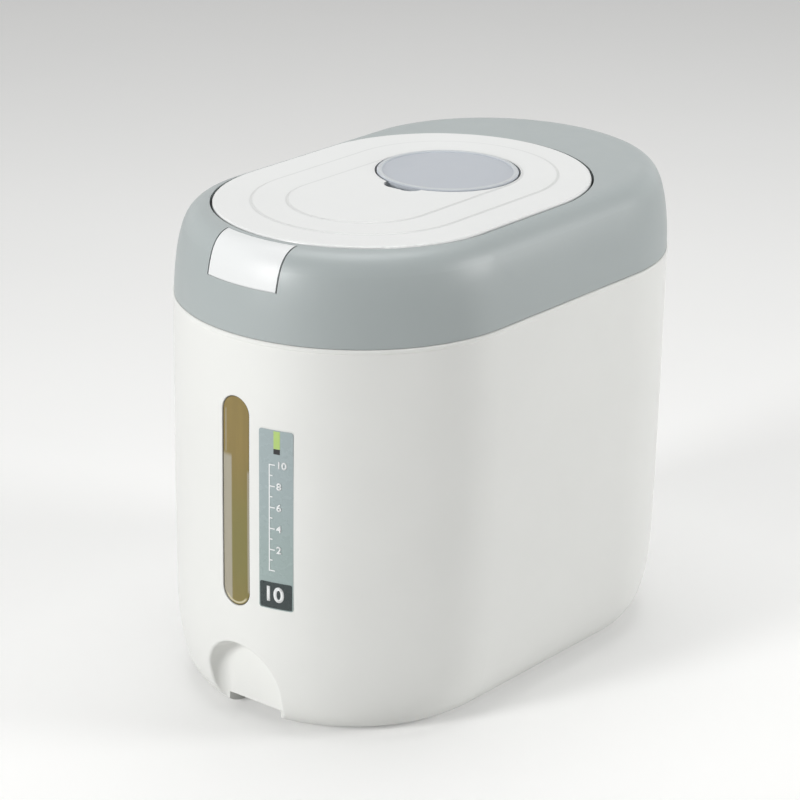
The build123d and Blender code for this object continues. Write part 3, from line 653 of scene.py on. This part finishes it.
class KEEPER_OT_make_label(Operator):
    """Makes the film label with a generic level scale, laid on the tub's front"""

    bl_idname = "keeper.make_label"
    bl_label = "Make label"

    def execute(self, context):
        label = context.scene.keeper_label
        low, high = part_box("label")
        skin = front_skin("label")
        film = film_print("film_print", label)
        white = printed_ink("white_print", label.print_white)
        panel = printed_ink("panel_print", label.panel, 0.28)
        bar = printed_ink("bar_print", label.bar)
        black = printed_ink("black_print", label.ink)
        ink = label.lift + FILM_DEPTH

        def patch(name, box, recipe, depth=ink, corner=0.0, cuts=3):
            def build(bm):
                rounded_sheet(bm, *box, corner, cuts)
                thicken(bm, depth)
                lay_on_front(bm, skin)

            return piece(name, build, recipe, "bin")

        def within(margin):
            return low.x + margin, high.x - margin, low.z + margin, high.z - margin

        sheet = patch("label_film", within(FILM_INSET), film, FILM_DEPTH, label.corner, 16)
        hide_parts("label")

        left, right, foot, head = within(PRINT_MARGIN)
        panel_box = (left, right, foot, low.z + PANEL_HEIGHT)
        patch("label_panel", panel_box, panel, corner=PANEL_CORNER, cuts=12)
        patch("label_bar", (*BAR_SIDES, BAR_FOOT, head), bar)
        patch("label_square", (*BAR_SIDES, *SQUARE_ENDS), black)

        half = label.stroke / 2
        line = (SCALE_ACROSS - half, SCALE_ACROSS + half, SCALE_FOOT - half, SCALE_HEAD + half)
        patch("scale_line", line, white, cuts=6)
        for step in range(label.ticks + 1):
            z = SCALE_FOOT + (SCALE_HEAD - SCALE_FOOT) * step / label.ticks
            reach = TICK_REACH[step % 2]
            tick = (SCALE_ACROSS + half, SCALE_ACROSS + reach, z - half, z + half)
            patch(f"scale_tick_{step:02d}", tick, white, cuts=2)
            if step and step % 2 == 0:
                spot = (NUMBER_ACROSS, z)
                number = f"scale_number_{step:02d}"
                numeral(number, str(step), spot, NUMBER_SIZE, ink, white, skin)
        spot = (PANEL_NUMBER_ACROSS, low.z + PANEL_NUMBER_UP)
        most = str(label.ticks)
        numeral("panel_number", most, spot, PANEL_NUMBER_SIZE, ink * 2, white, skin)
        return {"FINISHED"}


# ---- studio -------------------------------------------------------------------------------------
def soft_lamp(name, spot, aim, size, power):
    lamp = bpy.data.lights.new(name, "AREA")
    lamp.shape = "DISK"
    lamp.size = size
    lamp.energy = power
    made = bpy.data.objects.new(name, lamp)
    bpy.context.scene.collection.objects.link(made)
    aimed = (Vector(aim) - Vector(spot)).to_track_quat("-Z", "Y").to_matrix().to_4x4()
    made.matrix_world = Matrix.Translation(spot) @ aimed


def seen_ray(tree):
    """1 for rays from the camera and for those that gloss or clear plastic sends on."""
    path = tree.nodes.new("ShaderNodeLightPath")
    total = path.outputs["Is Camera Ray"]
    for name in ("Is Glossy Ray", "Is Transmission Ray"):
        top = tree.nodes.new("ShaderNodeMath")
        top.operation = "MAXIMUM"
        tree.links.new(total, top.inputs[0])
        tree.links.new(path.outputs[name], top.inputs[1])
        total = top.outputs["Value"]
    return total


class KEEPER_OT_make_studio(Operator):
    """Makes the pale floor, the soft lamps and the camera"""

    bl_idname = "keeper.make_studio"
    bl_label = "Make studio"

    def execute(self, context):
        studio = context.scene.keeper_studio
        self.make_floor(studio)
        self.make_sky(context.scene, studio)
        for name, spot, aim, size, power in LAMPS:
            soft_lamp(name, spot, aim, size, getattr(studio, power))
        self.make_camera(context.scene, studio)
        context.scene.view_settings.view_transform = "Standard"
        return {"FINISHED"}

    def make_floor(self, studio):
        mesh = bpy.data.meshes.new("floor")
        bm = bmesh.new()
        bmesh.ops.create_grid(bm, x_segments=1, y_segments=1, size=studio.floor_size / 2)
        bm.to_mesh(mesh)
        bm.free()
        floor = bpy.data.objects.new("floor", mesh)
        bpy.context.scene.collection.objects.link(floor)
        recipe = Recipe("floor_paper")
        tone = recipe.spread(recipe.noise(0.3, 3.0))
        recipe.feed("Base Color", recipe.blend(tone, darker(studio.floor, 0.02), studio.floor))
        recipe.feed("Roughness", recipe.spread(recipe.noise(0.002, 4.0), 0.7, 0.85))
        recipe.relief((recipe.noise(0.0012, 3.0), 0.00002))
        recipe.shader.inputs["Specular IOR Level"].default_value = 0.2
        self.lift_floor(recipe, studio)
        mesh.materials.append(recipe.material)

    def lift_floor(self, recipe, studio):
        """Shows the floor paler than it is, and lights nothing with it."""
        glow = recipe.add("ShaderNodeEmission")
        glow.inputs["Color"].default_value = FLOOR_GLOW
        strength = recipe.times(seen_ray(recipe.tree), studio.glow)
        recipe.link(strength, glow.inputs["Strength"])
        total = recipe.add("ShaderNodeAddShader")
        recipe.link(recipe.shader.outputs["BSDF"], total.inputs[0])
        recipe.link(glow.outputs["Emission"], total.inputs[1])
        out = recipe.tree.nodes["Material Output"]
        recipe.link(total.outputs["Shader"], out.inputs["Surface"])

    def make_sky(self, scene, studio):
        """An even light, seen by the camera as a plain backdrop."""
        world = bpy.data.worlds.new("studio_sky")
        scene.world = world
        world.use_nodes = True
        tree = world.node_tree
        tree.nodes.clear()
        plain = tree.nodes.new("ShaderNodeBackground")
        plain.inputs["Color"].default_value = SKY_LIGHT
        plain.inputs["Strength"].default_value = studio.sky
        seen = tree.nodes.new("ShaderNodeBackground")
        seen.inputs["Color"].default_value = BACKDROP
        seen.inputs["Strength"].default_value = 1.0
        mix = tree.nodes.new("ShaderNodeMixShader")
        out = tree.nodes.new("ShaderNodeOutputWorld")
        tree.links.new(seen_ray(tree), mix.inputs["Fac"])
        tree.links.new(plain.outputs["Background"], mix.inputs[1])
        tree.links.new(seen.outputs["Background"], mix.inputs[2])
        tree.links.new(mix.outputs["Shader"], out.inputs["Surface"])

    def make_camera(self, scene, studio):
        """Where the photographer stood: turned, raised and rolled a little."""
        turn, rise, roll = (math.radians(angle) for angle in CAMERA_ANGLES)
        back = Vector(
            (math.sin(turn) * math.cos(rise), -math.cos(turn) * math.cos(rise), math.sin(rise))
        )
        right = (-back).cross(Vector((0, 0, 1))).normalized()
        up = right.cross(-back)
        side = right * math.cos(roll) + up * math.sin(roll)
        head = up * math.cos(roll) - right * math.sin(roll)
        placed = Matrix((side, head, back)).transposed().to_4x4()
        placed.translation = CAMERA_PLACE
        camera = bpy.data.cameras.new("camera")
        camera.lens = studio.lens
        camera.sensor_width = 36.0
        camera.clip_end = 50.0
        made = bpy.data.objects.new("camera", camera)
        scene.collection.objects.link(made)
        made.matrix_world = placed
        scene.camera = made


# ---- panel and registration ---------------------------------------------------------------------
OPERATORS = (
    KEEPER_OT_dress_tub,
    KEEPER_OT_dress_cover,
    KEEPER_OT_dress_lid,
    KEEPER_OT_dress_cup,
    KEEPER_OT_dress_seals,
    KEEPER_OT_dress_steel,
    KEEPER_OT_make_label,
    KEEPER_OT_make_studio,
)


class KEEPER_PT_pieces(Panel):
    """Lists the keeper's pieces and their settings"""

    bl_idname = "KEEPER_PT_pieces"
    bl_label = "Rice keeper"
    bl_space_type = "VIEW_3D"
    bl_region_type = "UI"
    bl_category = "Keeper"

    def draw(self, context):
        scene = context.scene
        for operator in OPERATORS:
            self.layout.operator(operator.bl_idname, text=operator.bl_label)
        for group in (scene.keeper_plastics, scene.keeper_label, scene.keeper_studio):
            box = self.layout.box()
            for name in group.__annotations__:
                box.prop(group, name)


CLASSES = (KeeperPlastics, KeeperLabel, KeeperStudio, *OPERATORS, KEEPER_PT_pieces)


def register():
    for kind in CLASSES:
        bpy.utils.register_class(kind)
    bpy.types.Scene.keeper_plastics = PointerProperty(type=KeeperPlastics)
    bpy.types.Scene.keeper_label = PointerProperty(type=KeeperLabel)
    bpy.types.Scene.keeper_studio = PointerProperty(type=KeeperStudio)


def unregister():
    del bpy.types.Scene.keeper_studio
    del bpy.types.Scene.keeper_label
    del bpy.types.Scene.keeper_plastics
    for kind in reversed(CLASSES):
        bpy.utils.unregister_class(kind)


def main():
    register()
    bpy.ops.keeper.dress_tub()
    bpy.ops.keeper.dress_cover()
    bpy.ops.keeper.dress_lid()
    bpy.ops.keeper.dress_cup()
    bpy.ops.keeper.dress_seals()
    bpy.ops.keeper.dress_steel()
    bpy.ops.keeper.make_label()
    bpy.ops.keeper.make_studio()


if __name__ == "__main__":
    main()
